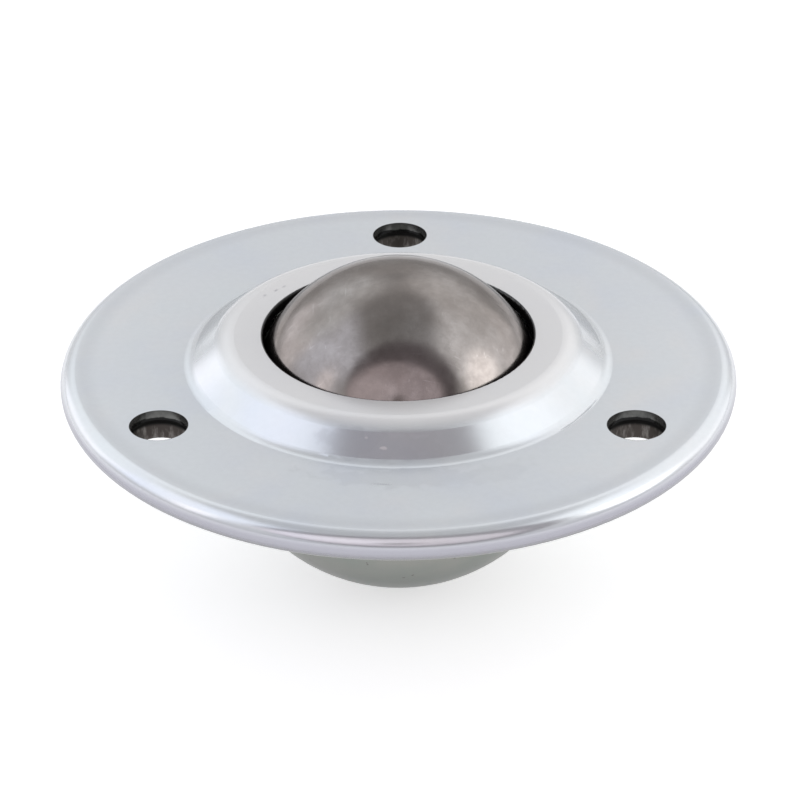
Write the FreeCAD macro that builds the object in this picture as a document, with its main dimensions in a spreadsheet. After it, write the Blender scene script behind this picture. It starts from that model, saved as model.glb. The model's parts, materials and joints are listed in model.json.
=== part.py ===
import FreeCAD, Part

import math
import os

import Sketcher

# Flange-mounted ball castor: a load ball turns freely on a bed of small bearing balls in a pressed cup,
# under a pressed cover whose edge is folded round the cup's flange.
# Frame: millimetres, origin at the centre of the fixing-hole circle on the flange's top face, +Z towards
# the load ball, one fixing hole on +Y.

# Driving dimensions
SIZES = {
    "load_ball_dia": 25.4,
    "bearing_ball_dia": 2.0,
    "running_gap": 0.05,      # radial play of a bearing ball against the load ball, and against the cup
    "neighbour_gap": 0.04,    # least play between two bearing balls
    "cover_sheet": 0.9,
    "cup_sheet": 0.8,
    "ball_proud": 5.7,        # height of the load ball above the dish's top face
    "opening_gap": 0.26,      # play between the load ball and the lower edge of the cover's opening
    "opening_round": 0.2,
    "dish_height": 2.45,      # top face of the dish above the flange
    "dish_face": 2.4,         # width of the flat ring round the opening
    "dish_slope": 41.0,       # degrees from the flange
    "shoulder_bend": 2.6,     # outside radius, top of the dish
    "foot_bend": 1.3,         # inside radius, foot of the dish
    "cup_bend": 1.0,          # radius under the flange, between the cup's wall and its flange
    "hole_circle_dia": 45.0,
    "hole_dia": 4.8,
    "hole_count": 3,
    "hole_start": 90.0,       # degrees from +X to the first hole
    "hole_entry": 0.3,        # rounded entry of the drawn collar under the cover
    "collar_wall": 0.5,
    "collar_root": 0.3,
    "lip_gap": 0.1,           # between the folded lip's inner edge and the collars' roots
    "lip_width": 1.4,
}

# Rows near the cup's pole whose balls are separate nodes, and degrees from that pole to the equator
SINGLE_ROWS = 3
POLE_TO_EQUATOR = 90.0

doc = FreeCAD.newDocument("BallCastor")
sheet = doc.addObject("Spreadsheet::Sheet", "Sizes")
for line, (alias, value) in enumerate(SIZES.items(), start=1):
    sheet.set(f"A{line}", alias.replace("_", " "))
    sheet.set(f"B{line}", str(value))
    sheet.setAlias(f"B{line}", alias)
doc.recompute()


def size(alias):
    return float(sheet.get(alias))


# Sizes that follow from the driving ones, as expressions for the features
BALL_R = "(Sizes.load_ball_dia / 2)"
BALL_Z = f"(Sizes.dish_height + Sizes.ball_proud - {BALL_R})"
DISH_UNDER = "(Sizes.dish_height - Sizes.cover_sheet)"
OPENING_R = f"(sqrt({BALL_R}^2 - ({DISH_UNDER} - {BALL_Z})^2) + Sizes.opening_gap)"
TRACK_R = f"({BALL_R} + Sizes.running_gap + Sizes.bearing_ball_dia / 2)"
CUP_INNER_R = f"({BALL_R} + Sizes.bearing_ball_dia + 2 * Sizes.running_gap)"
LIP_UNDER = "(-2 * Sizes.cover_sheet - Sizes.cup_sheet)"
HOLE_CIRCLE_R = "(Sizes.hole_circle_dia / 2)"
HOLE_R = "(Sizes.hole_dia / 2)"
COLLAR_R = f"({HOLE_R} + Sizes.collar_wall)"
LIP_INNER_R = f"({HOLE_CIRCLE_R} + {COLLAR_R} + Sizes.collar_root + Sizes.lip_gap)"
RIM_CENTRE_R = f"({LIP_INNER_R} + Sizes.lip_width)"

# The same sizes as numbers, for the starting shape of each profile and for counting balls
ball_r = size("load_ball_dia") / 2
ball_z = size("dish_height") + size("ball_proud") - ball_r
cover_t = size("cover_sheet")
cup_t = size("cup_sheet")
bearing_r = size("bearing_ball_dia") / 2
ball_pitch = 2 * bearing_r + size("neighbour_gap")
track_r = ball_r + size("running_gap") + bearing_r
cup_inner_r = ball_r + 2 * bearing_r + 2 * size("running_gap")
dish_z = size("dish_height")
opening_r = math.sqrt(ball_r**2 - (dish_z - cover_t - ball_z) ** 2) + size("opening_gap")
lip_under = -2 * cover_t - cup_t
rim_bend = -lip_under / 2
hole_circle_r = size("hole_circle_dia") / 2
hole_r = size("hole_dia") / 2
collar_r = hole_r + size("collar_wall")
lip_inner_r = hole_circle_r + collar_r + size("collar_root") + size("lip_gap")
rim_centre_r = lip_inner_r + size("lip_width")

# Lengths closer than this are the same
CLOSE = 1e-4

# The sketcher's numbers for a curve's points and for the two axes
START, END, CENTRE = 1, 2, 3
X_AXIS, Y_AXIS = -1, -2


class Profile:
    """A closed outline in one of a body's origin planes, drawn in its final place and then constrained."""

    def __init__(self, body, name, plane):
        self.sketch = body.newObject("Sketcher::SketchObject", name)
        origin_plane = next(f for f in body.Origin.OriginFeatures if f.Role == plane)
        self.sketch.AttachmentSupport = [(origin_plane, "")]
        self.sketch.MapMode = "FlatFace"

    def line(self, start, end):
        return self.sketch.addGeometry(Part.LineSegment(FreeCAD.Vector(*start, 0), FreeCAD.Vector(*end, 0)))

    def arc(self, centre, radius, start_deg, end_deg):
        whole = Part.Circle(FreeCAD.Vector(*centre, 0), FreeCAD.Vector(0, 0, 1), radius)
        arc = Part.ArcOfCircle(whole, math.radians(start_deg), math.radians(end_deg))
        return self.sketch.addGeometry(arc)

    def circle(self, centre, radius):
        whole = Part.Circle(FreeCAD.Vector(*centre, 0), FreeCAD.Vector(0, 0, 1), radius)
        return self.sketch.addGeometry(whole)

    def rule(self, kind, *refs):
        self.sketch.addConstraint(Sketcher.Constraint(kind, *refs))

    def drive(self, kind, refs, value, expression):
        index = self.sketch.addConstraint(Sketcher.Constraint(kind, *refs, value))
        self.sketch.setExpression(f"Constraints[{index}]", expression)

    def across(self, point, value, expression):
        self.drive("DistanceX", (X_AXIS, START, *point), value, expression)

    def height(self, point, value, expression):
        if value < 0:
            self.drive("DistanceY", (*point, X_AXIS, START), -value, f"-({expression})")
        else:
            self.drive("DistanceY", (X_AXIS, START, *point), value, expression)


def new_body(label):
    body = doc.addObject("PartDesign::Body", label)
    body.Label = label
    return body


def revolve(body, profile):
    turned = body.newObject("PartDesign::Revolution", f"{body.Name}Turned")
    turned.Profile = profile.sketch
    turned.ReferenceAxis = (profile.sketch, ["V_Axis"])
    turned.Angle = 360
    profile.sketch.Visibility = False
    doc.recompute()


def hole_circle(body, name):
    """Circle of the first fixing hole, on the flange's top face."""
    profile = Profile(body, name, "XY_Plane")
    angle = math.radians(size("hole_start"))
    x, y = hole_circle_r * math.cos(angle), hole_circle_r * math.sin(angle)
    ring = profile.circle((x, y), hole_r)
    profile.drive("Radius", (ring,), hole_r, HOLE_R)
    profile.across((ring, CENTRE), x, f"{HOLE_CIRCLE_R} * cos(Sizes.hole_start * 1 deg)")
    profile.height((ring, CENTRE), y, f"{HOLE_CIRCLE_R} * sin(Sizes.hole_start * 1 deg)")
    doc.recompute()
    return profile


def turned_about_hole(body, kind, name, radius, bend, top, step, low):
    """Round feature about the first fixing hole's axis, wider by a quarter bend above a step.

    Each size is a pair: its value, and the expression that drives it.
    """
    p = Profile(body, name + "Profile", "XZ_Plane")
    turn = FreeCAD.Rotation(FreeCAD.Vector(0, 1, 0), size("hole_start"))
    p.sketch.AttachmentOffset = FreeCAD.Placement(FreeCAD.Vector(), turn)
    p.sketch.setExpression("AttachmentOffset.Rotation.Angle", "Sizes.hole_start * 1 deg")
    inner = hole_circle_r + radius[0]
    outer = inner + bend[0]
    axis = p.line((hole_circle_r, top[0]), (hole_circle_r, low[0]))
    p.sketch.toggleConstruction(axis)
    core = p.line((hole_circle_r, low[0]), (hole_circle_r, top[0]))
    upper = p.line((hole_circle_r, top[0]), (outer, top[0]))
    side = p.line((outer, top[0]), (outer, step[0]))
    quarter = p.arc((outer, step[0] - bend[0]), bend[0], 90, 180)
    wall = p.line((inner, step[0] - bend[0]), (inner, low[0]))
    lower = p.line((inner, low[0]), (hole_circle_r, low[0]))

    for first, first_end, second, second_end in (
        (axis, START, core, END), (axis, END, core, START), (core, END, upper, START),
        (upper, END, side, START), (side, END, quarter, START), (wall, END, lower, START),
        (lower, END, core, START),
    ):
        p.rule("Coincident", first, first_end, second, second_end)
    p.rule("Tangent", quarter, END, wall, START)
    p.rule("Vertical", quarter, START, quarter, CENTRE)
    for upright in (core, side, wall):
        p.rule("Vertical", upright)
    for level in (upper, lower):
        p.rule("Horizontal", level)
    p.across((core, START), hole_circle_r, HOLE_CIRCLE_R)
    p.across((wall, START), inner, f"{HOLE_CIRCLE_R} + {radius[1]}")
    p.drive("Radius", (quarter,), bend[0], bend[1])
    p.height((core, END), *top)
    p.height((side, END), *step)
    p.height((core, START), *low)

    turned = body.newObject(kind, name)
    turned.Profile = p.sketch
    turned.ReferenceAxis = (p.sketch, ["Axis0"])
    turned.Angle = 360
    p.sketch.Visibility = False
    body.Tip = turned
    doc.recompute()
    return turned


def repeat_round(body, features):
    pattern = body.newObject("PartDesign::PolarPattern", f"{body.Name}Holes")
    pattern.Originals = features
    pattern.Axis = (next(f for f in body.Origin.OriginFeatures if f.Role == "Z_Axis"), [""])
    pattern.Angle = 360
    pattern.setExpression("Occurrences", "Sizes.hole_count")
    body.Tip = pattern
    doc.recompute()
    return pattern


def ring_edges(shape, radius, height):
    """Names of the circular edges of one radius and height about the castor's axis."""
    names = []
    for number, edge in enumerate(shape.Edges, start=1):
        if edge.Degenerated or not isinstance(edge.Curve, Part.Circle):
            continue
        middle = edge.Curve.Center
        off_axis = math.hypot(middle.x, middle.y)
        if max(abs(edge.Curve.Radius - radius), abs(middle.z - height), off_axis) < CLOSE:
            names.append(f"Edge{number}")
    return names


def round_edges(body, base, name, edges, radius_expression):
    if not edges:
        raise RuntimeError(f"{name}: no edges found")
    fillet = body.newObject("PartDesign::Fillet", name)
    fillet.Base = (base, edges)
    fillet.setExpression("Radius", radius_expression)
    body.Tip = fillet
    doc.recompute()
    return fillet


def make_cover():
    """Pressed cover: raised dish round the opening, flat flange, edge folded under the cup's flange."""
    body = new_body("cover")
    p = Profile(body, "CoverProfile", "XZ_Plane")
    slope = math.radians(size("dish_slope"))
    shoulder, foot = size("shoulder_bend"), size("foot_bend")
    shoulder_x = opening_r + size("dish_face")
    shoulder_c = (shoulder_x, dish_z - shoulder)
    # From the shoulder's lower end the slope runs straight down to the foot's upper end
    top_x = shoulder_c[0] + shoulder * math.sin(slope)
    top_z = shoulder_c[1] + shoulder * math.cos(slope)
    low_z = foot * (1 - math.cos(slope))
    low_x = top_x + (top_z - low_z) / math.tan(slope)
    foot_c = (low_x + foot * math.sin(slope), foot)
    inset = (-cover_t * math.sin(slope), -cover_t * math.cos(slope))
    slope_deg = size("dish_slope")
    rim_c = (rim_centre_r, -rim_bend)

    face = p.line((opening_r, dish_z), (shoulder_x, dish_z))
    bend_1 = p.arc(shoulder_c, shoulder, 90 - slope_deg, 90)
    side = p.line((top_x, top_z), (low_x, low_z))
    bend_2 = p.arc(foot_c, foot, 270 - slope_deg, 270)
    flange = p.line((foot_c[0], 0), (rim_centre_r, 0))
    rim = p.arc(rim_c, rim_bend, -90, 90)
    lip = p.line((rim_centre_r, lip_under), (lip_inner_r, lip_under))
    lip_end = p.line((lip_inner_r, lip_under), (lip_inner_r, lip_under + cover_t))
    lip_in = p.line((lip_inner_r, lip_under + cover_t), (rim_centre_r, lip_under + cover_t))
    rim_in = p.arc(rim_c, rim_bend - cover_t, -90, 90)
    flange_in = p.line((rim_centre_r, -cover_t), (foot_c[0], -cover_t))
    bend_2_in = p.arc(foot_c, foot + cover_t, 270 - slope_deg, 270)
    side_in = p.line((low_x + inset[0], low_z + inset[1]), (top_x + inset[0], top_z + inset[1]))
    bend_1_in = p.arc(shoulder_c, shoulder - cover_t, 90 - slope_deg, 90)
    face_in = p.line((shoulder_x, dish_z - cover_t), (opening_r, dish_z - cover_t))
    opening = p.line((opening_r, dish_z - cover_t), (opening_r, dish_z))

    for first, first_end, second, second_end in (
        (face, END, bend_1, END), (bend_1, START, side, START), (side, END, bend_2, START),
        (bend_2, END, flange, START), (flange, END, rim, END), (rim, START, lip, START),
        (lip_in, END, rim_in, START), (rim_in, END, flange_in, START), (flange_in, END, bend_2_in, END),
        (bend_2_in, START, side_in, START), (side_in, END, bend_1_in, START),
        (bend_1_in, END, face_in, START),
    ):
        p.rule("Tangent", first, first_end, second, second_end)
    for first, second in ((lip, lip_end), (lip_end, lip_in), (face_in, opening), (opening, face)):
        p.rule("Coincident", first, END, second, START)
    for inner, outer in ((bend_1_in, bend_1), (bend_2_in, bend_2), (rim_in, rim)):
        p.rule("Coincident", inner, CENTRE, outer, CENTRE)
    for level in (face, flange, lip, lip_in, flange_in, face_in):
        p.rule("Horizontal", level)
    for upright in (lip_end, opening):
        p.rule("Vertical", upright)
    p.rule("PointOnObject", flange, START, X_AXIS)

    p.across((face, START), opening_r, OPENING_R)
    p.across((bend_1, CENTRE), shoulder_x, f"{OPENING_R} + Sizes.dish_face")
    p.across((rim, CENTRE), rim_centre_r, RIM_CENTRE_R)
    p.across((lip_end, START), lip_inner_r, LIP_INNER_R)
    p.height((face, START), dish_z, "Sizes.dish_height")
    p.height((face_in, START), dish_z - cover_t, DISH_UNDER)
    p.height((flange_in, START), -cover_t, "-Sizes.cover_sheet")
    p.height((lip, START), lip_under, LIP_UNDER)
    p.drive("Radius", (bend_1,), shoulder, "Sizes.shoulder_bend")
    p.drive("Radius", (bend_2,), foot, "Sizes.foot_bend")
    p.drive("Angle", (side,), -slope, "-Sizes.dish_slope * 1 deg")
    revolve(body, p)
    return body


def pierce_cover(body):
    """Fixing holes through the flange, and the rounded upper edge of the opening."""
    hole = body.newObject("PartDesign::Pocket", "CoverHole")
    hole.Profile = hole_circle(body, "CoverHoleCircle").sketch
    hole.setExpression("Length", "2 * (Sizes.dish_height + Sizes.cover_sheet)")
    hole.Midplane = True
    body.Tip = hole
    doc.recompute()
    holes = repeat_round(body, [hole])
    edges = ring_edges(holes.Shape, opening_r, dish_z)
    round_edges(body, holes, "OpeningEdge", edges, "Sizes.opening_round")


def make_cup():
    """Drawn cup: half-round race for the bearing balls, short straight wall, flat flange."""
    body = new_body("cup")
    p = Profile(body, "CupProfile", "XZ_Plane")
    bend = size("cup_bend")
    outer_r = cup_inner_r + cup_t
    flange_top = -cover_t
    bend_c = (outer_r + bend, flange_top - cup_t - bend)

    race = p.arc((0, ball_z), cup_inner_r, -90, 0)
    wall_in = p.line((cup_inner_r, ball_z), (cup_inner_r, bend_c[1]))
    bend_in = p.arc(bend_c, bend + cup_t, 90, 180)
    flange = p.line((bend_c[0], flange_top), (rim_centre_r, flange_top))
    edge = p.line((rim_centre_r, flange_top), (rim_centre_r, flange_top - cup_t))
    under = p.line((rim_centre_r, flange_top - cup_t), (bend_c[0], flange_top - cup_t))
    bend_out = p.arc(bend_c, bend, 90, 180)
    wall_out = p.line((outer_r, bend_c[1]), (outer_r, ball_z))
    bowl = p.arc((0, ball_z), outer_r, -90, 0)
    pole = p.line((0, ball_z - outer_r), (0, ball_z - cup_inner_r))

    for first, first_end, second, second_end in (
        (race, END, wall_in, START), (wall_in, END, bend_in, END), (bend_in, START, flange, START),
        (under, END, bend_out, START), (bend_out, END, wall_out, START), (wall_out, END, bowl, END),
    ):
        p.rule("Tangent", first, first_end, second, second_end)
    for first, first_end, second, second_end in (
        (flange, END, edge, START), (edge, END, under, START), (bowl, START, pole, START),
        (pole, END, race, START), (bowl, CENTRE, race, CENTRE), (bend_out, CENTRE, bend_in, CENTRE),
    ):
        p.rule("Coincident", first, first_end, second, second_end)
    p.rule("PointOnObject", race, CENTRE, Y_AXIS)
    p.rule("PointOnObject", pole, START, Y_AXIS)
    p.rule("PointOnObject", pole, END, Y_AXIS)
    for upright in (wall_in, wall_out, edge):
        p.rule("Vertical", upright)
    for level in (flange, under):
        p.rule("Horizontal", level)

    p.height((race, CENTRE), ball_z, BALL_Z)
    p.height((flange, START), flange_top, "-Sizes.cover_sheet")
    p.height((under, START), flange_top - cup_t, "-Sizes.cover_sheet - Sizes.cup_sheet")
    p.across((edge, START), rim_centre_r, RIM_CENTRE_R)
    p.drive("Radius", (race,), cup_inner_r, CUP_INNER_R)
    p.drive("Radius", (bend_out,), bend, "Sizes.cup_bend")
    revolve(body, p)
    return body


def pierce_cup(body):
    """Drawn collars round the fixing holes, level with the folded lip, with a rounded entry and root."""
    flange_top = (-cover_t, "-Sizes.cover_sheet")
    flange_under = (-cover_t - cup_t, "-Sizes.cover_sheet - Sizes.cup_sheet")
    collar = turned_about_hole(
        body, "PartDesign::Revolution", "Collar",
        radius=(collar_r, COLLAR_R),
        bend=(size("collar_root"), "Sizes.collar_root"),
        top=flange_top,
        step=flange_under,
        low=(lip_under, LIP_UNDER),
    )
    hole = turned_about_hole(
        body, "PartDesign::Groove", "CollarHole",
        radius=(hole_r, HOLE_R),
        bend=(size("hole_entry"), "Sizes.hole_entry"),
        top=(cover_t, "Sizes.cover_sheet"),
        step=flange_top,
        low=(lip_under - cup_t, f"{LIP_UNDER} - Sizes.cup_sheet"),
    )
    repeat_round(body, [collar, hole])


def make_sphere(label, radius_expression, place):
    ball = doc.addObject("Part::Sphere", label)
    ball.Label = label
    ball.setExpression("Radius", radius_expression)
    for axis, expression in place.items():
        ball.setExpression(f"Placement.Base.{axis}", expression)
    return ball


def bearing_ball(label, row_deg, turn_deg):
    """One ball between the load ball and the race, by its angle from the cup's pole and round the axis."""
    across = f"{TRACK_R} * sin({row_deg} deg)"
    place = {
        "x": f"{across} * cos({turn_deg} deg)",
        "y": f"{across} * sin({turn_deg} deg)",
        "z": f"{BALL_Z} - {TRACK_R} * cos({row_deg} deg)",
    }
    return make_sphere(label, "Sizes.bearing_ball_dia / 2", place)


def balls_in_row(row_deg):
    half_chord = ball_pitch / 2 / (track_r * math.sin(math.radians(row_deg)))
    return int(math.pi / math.asin(half_chord)) if half_chord < 1 else 1


def row_count():
    least_step = 2 * math.degrees(math.asin(ball_pitch / 2 / track_r))
    return int(POLE_TO_EQUATOR / least_step)


def make_row(row, row_deg, name):
    """A row as separate nodes near the pole, and as one node of separate balls further out."""
    count = balls_in_row(row_deg)
    # Every other row starts half a pitch round, as the balls settle
    start = 180.0 / count * (row % 2)
    turns = [start + 360.0 * k / count for k in range(count)]
    if row <= SINGLE_ROWS:
        label = f"bearing_ball_r{row}"
        return [bearing_ball(f"{label}_{k:02d}", row_deg, turn) for k, turn in enumerate(turns, 1)]
    group = doc.addObject("Part::Compound", name)
    group.Label = name
    group.Links = [bearing_ball(f"{name}_{k:02d}", row_deg, turn) for k, turn in enumerate(turns, 1)]
    return [group]


cover = make_cover()
pierce_cover(cover)
cup = make_cup()
pierce_cup(cup)
load_ball = make_sphere("load_ball", BALL_R, {"z": BALL_Z})
nodes = [cover, cup, load_ball, bearing_ball("bearing_ball_pole", 0, 0)]
rows = row_count()
row_step = POLE_TO_EQUATOR / rows
for row in range(1, rows + 1):
    nodes += make_row(row, row * row_step, f"bearing_ring_r{row}")
nodes += make_row(rows + 1, (rows + 1) * row_step, "top_ring")
doc.recompute()

for item in doc.Objects:
    if any(state in ("Invalid", "Error") for state in item.State):
        raise RuntimeError(f"{item.Label} failed: {item.State}")
for node in nodes:
    if node.Shape.isNull() or not node.Shape.isValid():
        raise RuntimeError(f"{node.Label} has no valid shape")

os.makedirs("parts", exist_ok=True)
for node in nodes:
    node.Shape.exportStep(f"parts/{node.Label}.step")
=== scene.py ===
# Ball castor: the finish of every part, soft studio light and the photograph's camera.
# Everything is in metres in the castor's own frame: origin at the centre of the fixing-hole circle on the
# flange's top face, +Z towards the load ball, one fixing hole on +Y.
import json
import math

import bpy
from mathutils import Matrix, Vector


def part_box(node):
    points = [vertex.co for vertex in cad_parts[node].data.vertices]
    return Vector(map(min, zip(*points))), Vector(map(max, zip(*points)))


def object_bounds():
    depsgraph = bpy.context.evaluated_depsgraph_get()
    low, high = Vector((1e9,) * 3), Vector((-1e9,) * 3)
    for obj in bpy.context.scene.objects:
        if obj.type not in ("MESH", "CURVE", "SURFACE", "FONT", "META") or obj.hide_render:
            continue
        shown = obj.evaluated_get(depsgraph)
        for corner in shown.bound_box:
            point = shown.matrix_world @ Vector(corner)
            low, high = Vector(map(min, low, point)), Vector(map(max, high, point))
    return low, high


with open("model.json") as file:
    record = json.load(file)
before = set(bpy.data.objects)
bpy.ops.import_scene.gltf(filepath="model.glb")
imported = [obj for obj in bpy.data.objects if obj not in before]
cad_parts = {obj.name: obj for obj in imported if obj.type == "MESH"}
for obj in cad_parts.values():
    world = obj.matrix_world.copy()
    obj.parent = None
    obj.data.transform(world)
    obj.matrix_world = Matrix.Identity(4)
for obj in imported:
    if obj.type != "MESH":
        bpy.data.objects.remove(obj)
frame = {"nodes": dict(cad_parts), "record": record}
cad_box = [list(corner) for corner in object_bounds()]

MM = 0.001

# Camera: a pinhole fitted to the photograph
CAMERA_ELEVATION = math.radians(30.052)
CAMERA_AZIMUTH = math.radians(0.462)
CAMERA_ROLL = math.radians(-0.260)
CAMERA_DISTANCE = 290.0 * MM
CAMERA_ACROSS = 0.124 * MM
CAMERA_UP = -3.583 * MM
CLIP_NEAR = 0.01
CLIP_FAR = 20.0
FOCAL_PIXELS = 3437.2
FRAME_PIXELS = 800.0
SENSOR_MM = 36.0

# Floor: level with the lowest point of the cup
FLOOR_HALF = 3.0
FLOOR_GREY = 0.80
FLOOR_GLOW = 0.56

# Fixing holes, as the record's bolt pattern has them, with one hole on +Y
HOLES = frame["record"]["mounts"][0]["dims"]
HOLE_CIRCLE_RADIUS = HOLES["pcd_mm"] / 2 * MM
HOLE_COUNT = HOLES["count"]
HOLE_RADIUS = HOLES["hole_r_mm"] * MM
FIRST_HOLE_ANGLE = 90.0

# The cover's opening, top, underside and rim, and the cup's lowest point, read from their solids
OPENING_RADIUS = min(math.hypot(*point.co[:2]) for point in frame["nodes"]["cover"].data.vertices)
DISH_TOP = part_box("cover")[1][2]
RIM_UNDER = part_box("cover")[0][2]
RIM_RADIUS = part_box("cover")[1][0]
CUP_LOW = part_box("cup")[0][2]

# Where each zone of finish and of painted shade on the cover and the cup starts and where it is full
FACE_ZONE = (DISH_TOP - 0.7 * MM, DISH_TOP)
# The ring of painted shade just inside the folded edge
EDGE_RING_IN = (RIM_RADIUS - 3.3 * MM, RIM_RADIUS - 1.9 * MM)
EDGE_RING_OUT = (RIM_RADIUS - 1.0 * MM, RIM_RADIUS - 1.9 * MM)
EDGE_WALL_ZONE = (RIM_UNDER * 0.15, RIM_UNDER * 0.5)
UNDERSIDE_ZONE = (RIM_UNDER * 0.55, RIM_UNDER * 0.95)
SHEET_JOINT_ZONE = (-0.55 * MM, -0.68 * MM)
# Grease and painted shade on the wall of the opening, from nothing to full
GREASE_AND_SHADE_ZONE = (OPENING_RADIUS + 0.20 * MM, OPENING_RADIUS + 0.11 * MM)
CUP_DARK_ZONE = (CUP_LOW * 0.55, CUP_LOW * 0.98)
COLLAR_ENTRY_ZONE = (RIM_UNDER * 0.58, RIM_UNDER * 0.45)

# Distances from a fixing hole's axis, from full to nothing
COVER_HOLE_REACH = (HOLE_RADIUS, HOLE_RADIUS + 0.06 * MM)
CUP_HOLE_REACH = (HOLE_RADIUS + 0.1 * MM, HOLE_RADIUS + 0.45 * MM)

# Noise scales
COVER_SCALES = {"clouds": 75.0, "tints": 160.0, "patches": 900.0, "grain": 1800.0}
CUP_SCALES = {"clouds": 150.0, "specks": 1400.0, "streaks": 1700.0}
BALL_SCALES = {"clouds": 170.0, "mottle": 800.0, "grain": 2600.0, "scratches": 4200.0}
FILM_SCALE = 900.0

# Factors per axis that draw noise out into upright streaks, and into scratches two ways
STREAK_STRETCH = (1.0, 1.0, 0.3)
SCRATCH_STRETCHES = ((1.0, 0.06, 0.4), (0.08, 1.0, 0.25))
LEVEL = (1.0, 1.0, 0.0)

# Depths of the fine relief, and of the uneven edge of the joint in the fixing holes
FINE_RELIEF = 0.02 * MM
FILM_RELIEF = 0.01 * MM
JOINT_UNEVEN = 0.08 * MM

COVER_COLOURS = {
    "blue": (0.72, 0.75, 0.79, 1.0),
    "straw": (0.78, 0.78, 0.775, 1.0),
    "tint": (0.745, 0.77, 0.785, 1.0),
    "grain": (0.60, 0.61, 0.63, 1.0),
    "face": (0.82, 0.79, 0.765, 1.0),
    # Painted shade: the darker ring where the folded edge starts to roll over
    "rim_roll_painted_shade": (0.42, 0.42, 0.44, 1.0),
    # Wear marks, and painted shade in the foot creases
    "worn_and_crease_shade": (0.26, 0.26, 0.28, 1.0),
    "fleck": (0.98, 0.97, 0.96, 1.0),
    # Painted shade: the folded edge's outer wall and underside, darker where they face the shaded floor
    "edge_wall_painted_shade": (0.44, 0.44, 0.485, 1.0),
    "underside_painted_shade": (0.30, 0.30, 0.31, 1.0),
    "cut_dark": (0.085, 0.088, 0.085, 1.0),
    "cut_pale": (0.15, 0.152, 0.145, 1.0),
    # Painted shadow in the gap between the two sheets, in the fixing holes
    "joint": (0.008, 0.008, 0.008, 1.0),
    # Grease, with painted shade, on the wall of the opening and inside it
    "grease_and_painted_shade": (0.02, 0.02, 0.02, 1.0),
}
CUP_COLOURS = {
    # The cup's greys are its duller zinc, and darker still as painted shade from the shaded floor below
    "green_grey": (0.30, 0.325, 0.30, 1.0),
    "pale_grey": (0.345, 0.35, 0.325, 1.0),
    # Painted shade: the cup darker towards its pole
    "low": (0.16, 0.17, 0.155, 1.0),
    "speck": (0.09, 0.08, 0.07, 1.0),
    "wall_dark": (0.072, 0.062, 0.056, 1.0),
    "wall_pale": (0.26, 0.245, 0.23, 1.0),
    # Painted shadow in the gap between the sheets, at the collars' entry
    "entry": (0.008, 0.008, 0.007, 1.0),
}
BALL_COLOURS = {
    "dark": (0.275, 0.244, 0.226, 1.0),
    "pale": (0.350, 0.320, 0.304, 1.0),
    "mottle": (0.205, 0.182, 0.170, 1.0),
    "scratch": (0.50, 0.47, 0.46, 1.0),
}
BEARING_COLOURS = {
    "dark": (0.55, 0.55, 0.56, 1.0),
    "pale": (0.62, 0.62, 0.62, 1.0),
}

# Light of the surroundings by elevation in degrees, the same all round, and even below the first
SKY = {
    27.0: (0.80, 0.81, 0.825, 1.0),
    33.0: (0.62, 0.635, 0.655, 1.0),
    52.0: (0.64, 0.65, 0.665, 1.0),
    66.0: (0.54, 0.55, 0.565, 1.0),
    90.0: (0.45, 0.46, 0.47, 1.0),
}


def card(azimuth, elevation, half_width, half_height, softness, colour, rounded=False):
    """A soft card of light or shade: degrees, with azimuth from behind the castor towards +X."""
    return {
        "azimuth": azimuth,
        "elevation": elevation,
        "half_width": half_width,
        "half_height": half_height,
        "softness": softness,
        "colour": (*colour, 1.0),
        "rounded": rounded,
    }


CARDS = {
    "left_side": card(-92.0, 38.0, 22.0, 20.0, 14.0, (1.20, 1.26, 1.40)),
    "left_low": card(-54.0, 18.0, 17.0, 12.0, 6.0, (1.50, 1.50, 1.56)),
    "back_left": card(-39.0, 38.0, 21.0, 12.0, 12.0, (1.14, 1.19, 1.23)),
    "left_lamp": card(-110.0, 24.0, 5.0, 10.0, 6.0, (1.75, 1.70, 1.75), rounded=True),
    "right_side": card(82.0, 38.0, 24.0, 20.0, 13.0, (1.42, 1.46, 1.50)),
    "right_lamp": card(96.0, 25.0, 13.0, 11.0, 9.0, (2.55, 2.52, 2.50), rounded=True),
    "right_low": card(55.0, 17.0, 15.0, 12.0, 6.0, (1.46, 1.46, 1.48)),
    "back_right": card(39.0, 36.0, 22.0, 14.0, 12.0, (1.22, 1.24, 1.26)),
    "front_shade": card(175.0, 42.0, 42.0, 36.0, 4.0, (0.20, 0.18, 0.195), rounded=True),
    "front_warm": card(-177.0, 38.0, 36.0, 23.0, 3.0, (0.84, 0.76, 0.81), rounded=True),
    "front_left": card(-158.0, 36.0, 17.0, 11.0, 6.0, (1.14, 1.05, 1.12), rounded=True),
    "front_lens": card(180.0, 31.0, 5.0, 6.0, 2.0, (0.25, 0.22, 0.22), rounded=True),
}

# The least value that a card's test divides by
NEARLY_ZERO = 0.001


def mark(azimuth, radius, half_length, half_width, strength):
    """Marks on the cover, wear and painted crease shade: degrees from +X round the castor, millimetres,
    then how far it takes over.
    """
    return {
        "azimuth": azimuth,
        "radius": radius * MM,
        "half_length": half_length * MM,
        "half_width": half_width * MM,
        "strength": strength,
    }


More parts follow.
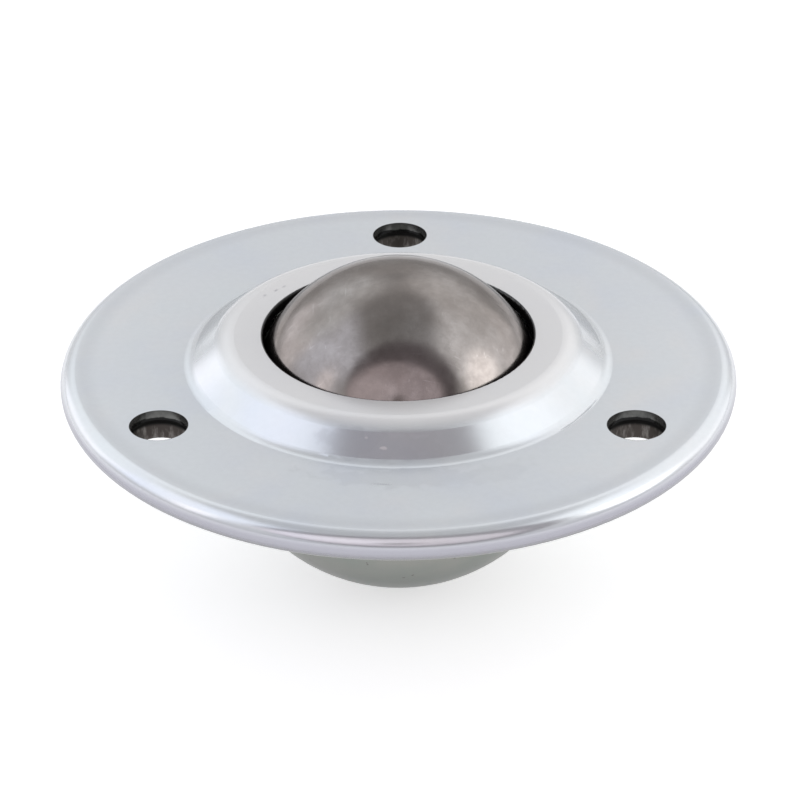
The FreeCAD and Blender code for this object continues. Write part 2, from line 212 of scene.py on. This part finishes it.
DARK_MARKS = {
    "flank_smudge": mark(257.0, 16.3, 2.6, 0.9, 0.16),
    "flank_smudge_right": mark(271.0, 16.5, 3.6, 0.8, 0.10),
    "foot_film": mark(272.0, 19.7, 6.8, 1.3, 0.13),
    "foot_film_right": mark(289.0, 20.3, 4.6, 1.4, 0.08),
    "front_scratch": mark(266.5, 20.5, 0.8, 0.07, 0.45),
    "face_fleck": mark(145.0, 12.9, 0.28, 0.10, 0.55),
    "face_fleck_low": mark(150.5, 13.2, 0.20, 0.08, 0.45),
    "face_fleck_high": mark(140.5, 12.8, 0.22, 0.07, 0.50),
    # Painted shade along two creases at the foot
    "foot_crease_painted_shade": mark(329.0, 17.9, 1.6, 0.09, 0.40),
    "foot_crease_low_painted_shade": mark(322.0, 17.95, 1.2, 0.07, 0.35),
}
PALE_MARKS = {
    "flank_fleck": mark(266.0, 16.5, 0.35, 0.12, 0.9),
    "flank_fleck_small": mark(261.0, 15.9, 0.16, 0.10, 0.6),
}


class Graph:
    """Adds nodes to a tree and joins them."""

    def __init__(self, tree):
        self.tree = tree
        tree.nodes.clear()

    def add(self, kind, inputs=None, **settings):
        node = self.tree.nodes.new(kind)
        for name, value in settings.items():
            setattr(node, name, value)
        for name, value in (inputs or {}).items():
            socket = node.inputs[name]
            if isinstance(value, bpy.types.NodeSocket):
                self.tree.links.new(value, socket)
            else:
                socket.default_value = value
        return node

    def math(self, operation, first, second=0.0):
        return self.add("ShaderNodeMath", {0: first, 1: second}, operation=operation).outputs[0]

    def dot(self, first, second):
        node = self.add("ShaderNodeVectorMath", {0: first, 1: second}, operation="DOT_PRODUCT")
        return node.outputs["Value"]

    def stretch(self, vector, factors):
        """The vector with each axis multiplied by its own factor."""
        node = self.add("ShaderNodeVectorMath", {0: vector, 1: factors}, operation="MULTIPLY")
        return node.outputs[0]

    def height(self, vector):
        return self.add("ShaderNodeSeparateXYZ", {0: vector}).outputs["Z"]

    def radius(self, place):
        """Distance from the castor's axis."""
        flat = self.stretch(place, LEVEL)
        return self.add("ShaderNodeVectorMath", {0: flat}, operation="LENGTH").outputs["Value"]

    def ramp(self, value, low, high, out_low=0.0, out_high=1.0, smooth=True):
        inputs = {"Value": value, "From Min": low, "From Max": high, "To Min": out_low, "To Max": out_high}
        kind = "SMOOTHSTEP" if smooth else "LINEAR"
        return self.add("ShaderNodeMapRange", inputs, interpolation_type=kind).outputs["Result"]

    def mix(self, factor, first, second):
        """Two colours mixed. The node's colour sockets are numbers 6 and 7 going in, and 2 coming out."""
        node = self.add("ShaderNodeMix", data_type="RGBA")
        for socket, value in zip((node.inputs[0], node.inputs[6], node.inputs[7]), (factor, first, second)):
            if isinstance(value, bpy.types.NodeSocket):
                self.tree.links.new(value, socket)
            else:
                socket.default_value = value
        return node.outputs[2]

    def noise(self, vector, scale, detail=3.0, roughness=0.55):
        inputs = {"Vector": vector, "Scale": scale, "Detail": detail, "Roughness": roughness}
        return self.add("ShaderNodeTexNoise", inputs).outputs["Fac"]

    def bump(self, height, strength, distance):
        inputs = {"Height": height, "Strength": strength, "Distance": distance}
        return self.add("ShaderNodeBump", inputs).outputs["Normal"]


def direction(azimuth_deg, elevation_deg):
    azimuth = math.radians(azimuth_deg)
    elevation = math.radians(elevation_deg)
    flat = math.cos(elevation)
    return Vector((flat * math.sin(azimuth), flat * math.cos(azimuth), math.sin(elevation)))


def make_camera():
    """The photograph's camera, from its direction, distance and small offsets."""
    flat = math.cos(CAMERA_ELEVATION)
    back = Vector((
        math.sin(CAMERA_AZIMUTH) * flat,
        -math.cos(CAMERA_AZIMUTH) * flat,
        math.sin(CAMERA_ELEVATION),
    ))
    right = (-back).cross(Vector((0, 0, 1))).normalized()
    up = right.cross(-back)
    place = back * CAMERA_DISTANCE + right * CAMERA_ACROSS + up * CAMERA_UP
    rolled_right = right * math.cos(CAMERA_ROLL) + up * math.sin(CAMERA_ROLL)
    rolled_up = up * math.cos(CAMERA_ROLL) - right * math.sin(CAMERA_ROLL)
    data = bpy.data.cameras.new("camera")
    data.sensor_width = SENSOR_MM
    data.lens = SENSOR_MM * FOCAL_PIXELS / FRAME_PIXELS
    data.clip_start = CLIP_NEAR
    data.clip_end = CLIP_FAR
    camera = bpy.data.objects.new("camera", data)
    bpy.context.scene.collection.objects.link(camera)
    turn = Matrix((rolled_right, rolled_up, back)).transposed().to_4x4()
    camera.matrix_world = Matrix.Translation(place) @ turn
    bpy.context.scene.camera = camera


def seen_directly(graph):
    """1 where a ray from the camera, or off or through a glossy surface, meets this shader."""
    path = graph.add("ShaderNodeLightPath")
    seen = graph.math("MAXIMUM", path.outputs["Is Camera Ray"], path.outputs["Is Glossy Ray"])
    return graph.math("MAXIMUM", seen, path.outputs["Is Transmission Ray"])


def make_floor():
    """Plain white floor. It glows where it is seen, so it reads white and keeps the shadow."""
    height = cad_box[0][2]
    around = [(-1, -1), (1, -1), (1, 1), (-1, 1)]
    corners = [(x * FLOOR_HALF, y * FLOOR_HALF, height) for x, y in around]
    mesh = bpy.data.meshes.new("floor")
    mesh.from_pydata(corners, [], [(0, 1, 2, 3)])
    floor = bpy.data.objects.new("floor", mesh)
    bpy.context.scene.collection.objects.link(floor)
    material = bpy.data.materials.new("floor_white")
    material.use_nodes = True
    graph = Graph(material.node_tree)
    grey = (FLOOR_GREY, FLOOR_GREY, FLOOR_GREY, 1.0)
    diffuse = graph.add("ShaderNodeBsdfDiffuse", {"Color": grey})
    strength = graph.math("MULTIPLY", seen_directly(graph), FLOOR_GLOW)
    glow = graph.add("ShaderNodeEmission", {"Strength": strength})
    total = graph.add("ShaderNodeAddShader", {0: diffuse.outputs[0], 1: glow.outputs[0]})
    graph.add("ShaderNodeOutputMaterial", {"Surface": total.outputs[0]})
    mesh.materials.append(material)


def sky(graph, ray):
    """The colour of the surroundings by elevation alone."""
    height = graph.height(ray)
    colour = None
    lower = None
    for elevation, shade in SKY.items():
        level = math.sin(math.radians(elevation))
        if colour is None:
            colour = shade
        else:
            colour = graph.mix(graph.ramp(height, lower, level), colour, shade)
        lower = level
    return colour


def inside_card(graph, ray, one):
    """1 inside a card seen from the castor, square or rounded, falling to 0 over its softness."""
    centre = direction(one["azimuth"], one["elevation"])
    across = direction(one["azimuth"] + 90.0, 0.0)
    upward = across.cross(centre)
    ahead = graph.dot(ray, centre)
    inside = graph.math("GREATER_THAN", ahead, 0.0)
    ahead = graph.math("MAXIMUM", ahead, NEARLY_ZERO)
    squares = 0.0
    for side, half in ((across, one["half_width"]), (upward, one["half_height"])):
        offset = graph.math("ABSOLUTE", graph.math("DIVIDE", graph.dot(ray, side), ahead))
        outer = math.tan(math.radians(half + one["softness"]))
        inner = math.tan(math.radians(half - one["softness"] / 2))
        if one["rounded"]:
            share = graph.math("DIVIDE", offset, math.tan(math.radians(half)))
            squares = graph.math("ADD", squares, graph.math("POWER", share, 2.0))
        else:
            inside = graph.math("MULTIPLY", inside, graph.ramp(offset, outer, inner))
    if one["rounded"]:
        blur = one["softness"] / min(one["half_width"], one["half_height"])
        round_edge = graph.ramp(graph.math("SQRT", squares), 1.0 + blur, 1.0 - blur / 2)
        inside = graph.math("MULTIPLY", inside, round_edge)
    return inside


def make_world():
    """Soft studio surroundings: a bright horizon, a dimmer sky and the soft cards."""
    world = bpy.data.worlds.new("studio")
    bpy.context.scene.world = world
    world.use_nodes = True
    graph = Graph(world.node_tree)
    ray = graph.add("ShaderNodeTexCoord").outputs["Generated"]
    colour = sky(graph, ray)
    for one in CARDS.values():
        colour = graph.mix(inside_card(graph, ray, one), colour, one["colour"])
    light = graph.add("ShaderNodeBackground", {"Color": colour})
    white = graph.add("ShaderNodeBackground", {"Color": (1.0, 1.0, 1.0, 1.0)})
    seen = graph.add("ShaderNodeLightPath").outputs["Is Camera Ray"]
    shown = graph.add("ShaderNodeMixShader", {0: seen, 1: light.outputs[0], 2: white.outputs[0]})
    graph.add("ShaderNodeOutputWorld", {"Surface": shown.outputs[0]})


def new_material(name):
    material = bpy.data.materials.new(name)
    material.use_nodes = True
    graph = Graph(material.node_tree)
    place = graph.add("ShaderNodeTexCoord").outputs["Object"]
    return material, graph, place


def near_holes(graph, place, reach):
    """1 near a fixing hole's axis, falling to 0 between the two distances of the reach."""
    flat = graph.stretch(place, LEVEL)
    nearest = None
    for index in range(HOLE_COUNT):
        angle = math.radians(FIRST_HOLE_ANGLE + 360.0 * index / HOLE_COUNT)
        axis = (HOLE_CIRCLE_RADIUS * math.cos(angle), HOLE_CIRCLE_RADIUS * math.sin(angle), 0.0)
        apart = graph.add("ShaderNodeVectorMath", {0: flat, 1: axis}, operation="DISTANCE")
        distance = apart.outputs["Value"]
        nearest = distance if nearest is None else graph.math("MINIMUM", nearest, distance)
    full, nothing = reach
    return graph.ramp(nearest, nothing, full)


def finish_metal(graph, colour, roughness, normal, metallic=1.0, edge_tint=1.0):
    """Metal with its own brightness at grazing angles; a metallic value below 1 adds a matt share."""
    inputs = {"Base Color": colour, "Roughness": roughness, "Normal": normal, "Metallic": metallic}
    inputs["Specular Tint"] = (edge_tint, edge_tint, edge_tint, 1.0)
    shader = graph.add("ShaderNodeBsdfPrincipled", inputs)
    graph.add("ShaderNodeOutputMaterial", {"Surface": shader.outputs[0]})


def marked(graph, place, radius, marks, ragged):
    """How far any of the marks takes over at this place, with ragged edges."""
    total = 0.0
    for one in marks.values():
        outward = direction(90.0 - one["azimuth"], 0.0)
        round_it = Vector((-outward.y, outward.x, 0.0))
        along = graph.math("DIVIDE", graph.dot(place, round_it), one["half_length"])
        across = graph.math("DIVIDE", graph.math("SUBTRACT", radius, one["radius"]), one["half_width"])
        squares = graph.math("ADD", graph.math("POWER", along, 2.0), graph.math("POWER", across, 2.0))
        apart = graph.math("ADD", graph.math("SQRT", squares), ragged)
        side = graph.math("GREATER_THAN", graph.dot(place, outward), 0.0)
        here = graph.math("MULTIPLY", graph.ramp(apart, 1.25, 0.75, 0.0, one["strength"]), side)
        total = graph.math("MAXIMUM", here, total)
    return total


def zinc_cover():
    """Bright zinc on smooth pressed sheet: satin, with faint clouds of blue and straw and a few marks."""
    material, graph, place = new_material("zinc_cover")
    shades = COVER_COLOURS
    radius = graph.radius(place)
    height = graph.height(place)
    clouds = graph.ramp(graph.noise(place, COVER_SCALES["clouds"], 4.0), 0.33, 0.67)
    tints = graph.ramp(graph.noise(place, COVER_SCALES["tints"], 5.0), 0.35, 0.65)
    patches = graph.noise(place, COVER_SCALES["patches"], 5.0)
    grain = graph.noise(place, COVER_SCALES["grain"], 3.0)
    colour = graph.mix(clouds, shades["blue"], shades["straw"])
    colour = graph.mix(tints, colour, shades["tint"])
    colour = graph.mix(graph.ramp(grain, 0.3, 0.7, 0.0, 0.12), colour, shades["grain"])
    # The flat ring round the opening is warmer, and more matt
    face = graph.ramp(height, *FACE_ZONE)
    colour = graph.mix(graph.math("MULTIPLY", face, 0.6), colour, shades["face"])
    # Painted shade: a darker ring just inside the folded edge, where it starts to roll over
    rim_roll_shade_mask = graph.math("MULTIPLY", graph.ramp(radius, *EDGE_RING_IN), graph.ramp(radius, *EDGE_RING_OUT))
    colour = graph.mix(graph.math("MULTIPLY", rim_roll_shade_mask, 0.16), colour, shades["rim_roll_painted_shade"])
    # Smudges, films, scratches and flecks from handling, and painted shade along two creases at the foot
    ragged = graph.ramp(patches, 0.3, 0.7, -0.5, 0.5, smooth=False)
    dark = marked(graph, place, radius, DARK_MARKS, ragged)
    colour = graph.mix(dark, colour, shades["worn_and_crease_shade"])
    colour = graph.mix(marked(graph, place, radius, PALE_MARKS, ragged), colour, shades["fleck"])
    # Painted shade: the folded edge darker down its outer wall, and more so underneath, where it faces the
    # shaded floor
    colour = graph.mix(graph.ramp(height, *EDGE_WALL_ZONE), colour, shades["edge_wall_painted_shade"])
    colour = graph.mix(graph.ramp(height, *UNDERSIDE_ZONE), colour, shades["underside_painted_shade"])
    # Dull cut walls of the fixing holes with a painted shadow in the joint between the sheets below, and
    # grease on the wall of the opening, with painted shade there too
    cut = graph.mix(graph.ramp(patches, 0.35, 0.65), shades["cut_dark"], shades["cut_pale"])
    uneven = graph.math("ADD", height, graph.ramp(patches, 0.3, 0.7, -JOINT_UNEVEN, JOINT_UNEVEN))
    # Painted shadow where the cover meets the cup inside each fixing hole
    cut = graph.mix(graph.ramp(uneven, *SHEET_JOINT_ZONE), cut, shades["joint"])
    colour = graph.mix(near_holes(graph, place, COVER_HOLE_REACH), colour, cut)
    # Grease, with painted shade where little light reaches inside the opening
    colour = graph.mix(graph.ramp(radius, *GREASE_AND_SHADE_ZONE), colour, shades["grease_and_painted_shade"])
    metallic = graph.ramp(face, 0.0, 1.0, 0.70, 0.42)
    roughness = graph.ramp(clouds, 0.0, 1.0, 0.17, 0.21, smooth=False)
    roughness = graph.math("ADD", roughness, graph.math("MULTIPLY", dark, 0.3))
    normal = graph.bump(grain, 0.05, FINE_RELIEF)
    finish_metal(graph, colour, roughness, normal, metallic, edge_tint=0.75)
    return material


def zinc_cup():
    """Zinc on drawn sheet: greenish grey with dark specks, and brown-grey streaks in the screw holes."""
    material, graph, place = new_material("zinc_cup")
    shades = CUP_COLOURS
    height = graph.height(place)
    clouds = graph.ramp(graph.noise(place, CUP_SCALES["clouds"], 4.0), 0.35, 0.65)
    specks = graph.noise(place, CUP_SCALES["specks"], 1.0)
    # Duller zinc, darkened too as painted shade from the shaded floor below
    colour = graph.mix(clouds, shades["green_grey"], shades["pale_grey"])
    # Painted shade: brighter just under the flange, darker towards the pole, where the cup faces the shaded
    # floor
    colour = graph.mix(graph.ramp(height, *CUP_DARK_ZONE), colour, shades["low"])
    colour = graph.mix(graph.ramp(specks, 0.72, 0.76, 0.0, 0.6), colour, shades["speck"])
    # The collars in the screw holes: streaked walls, with painted shadow at their rounded entry, the gap
    # between the sheets
    streaks = graph.noise(graph.stretch(place, STREAK_STRETCH), CUP_SCALES["streaks"], 5.0, 0.6)
    wall = graph.mix(graph.ramp(streaks, 0.45, 0.72), shades["wall_dark"], shades["wall_pale"])
    wall = graph.mix(graph.ramp(height, *COLLAR_ENTRY_ZONE), wall, shades["entry"])
    in_hole = near_holes(graph, place, CUP_HOLE_REACH)
    colour = graph.mix(in_hole, colour, wall)
    roughness = graph.ramp(in_hole, 0.0, 1.0, 0.28, 0.50, smooth=False)
    normal = graph.bump(specks, 0.06, FINE_RELIEF)
    finish_metal(graph, colour, roughness, normal, metallic=0.75, edge_tint=0.7)
    return material


def load_ball_steel():
    """Hardened steel ball: satin warm grey, mottled by use, with fine pale scratches."""
    material, graph, place = new_material("load_ball_steel")
    shades = BALL_COLOURS
    clouds = graph.ramp(graph.noise(place, BALL_SCALES["clouds"], 5.0, 0.6), 0.34, 0.66)
    mottle = graph.ramp(graph.noise(place, BALL_SCALES["mottle"], 6.0, 0.65), 0.33, 0.67)
    grain = graph.noise(place, BALL_SCALES["grain"], 3.0)
    colour = graph.mix(clouds, shades["dark"], shades["pale"])
    colour = graph.mix(graph.math("MULTIPLY", mottle, 0.42), colour, shades["mottle"])
    scratches = 0.0
    for factors in SCRATCH_STRETCHES:
        drawn = graph.noise(graph.stretch(place, factors), BALL_SCALES["scratches"], 2.0)
        scratches = graph.math("MAXIMUM", graph.ramp(drawn, 0.66, 0.74), scratches)
    scratches = graph.math("MULTIPLY", graph.math("MULTIPLY", scratches, clouds), 0.35)
    colour = graph.mix(scratches, colour, shades["scratch"])
    roughness = graph.ramp(clouds, 0.0, 1.0, 0.11, 0.17, smooth=False)
    roughness = graph.math("ADD", roughness, graph.math("MULTIPLY", mottle, 0.06))
    normal = graph.bump(grain, 0.05, FINE_RELIEF)
    finish_metal(graph, colour, roughness, normal, edge_tint=0.6)
    return material


def bearing_steel():
    """Polished bearing balls under a thin film of grease."""
    material, graph, place = new_material("bearing_steel")
    film = graph.noise(place, FILM_SCALE, 2.0)
    colour = graph.mix(film, BEARING_COLOURS["dark"], BEARING_COLOURS["pale"])
    roughness = graph.ramp(film, 0.3, 0.7, 0.08, 0.16, smooth=False)
    normal = graph.bump(film, 0.03, FILM_RELIEF)
    finish_metal(graph, colour, roughness, normal)
    return material


def dress_nodes():
    """Gives each node its slot's material."""
    makers = {maker.__name__: maker for maker in (zinc_cover, zinc_cup, load_ball_steel, bearing_steel)}
    materials = {slot: maker() for slot, maker in makers.items()}
    for part in frame["record"]["subparts"]:
        node = frame["nodes"][part["node"]]
        node.data.materials.clear()
        node.data.materials.append(materials[part["material_slot"]])


make_camera()
make_floor()
make_world()
dress_nodes()
bpy.context.scene.view_settings.view_transform = "Standard"
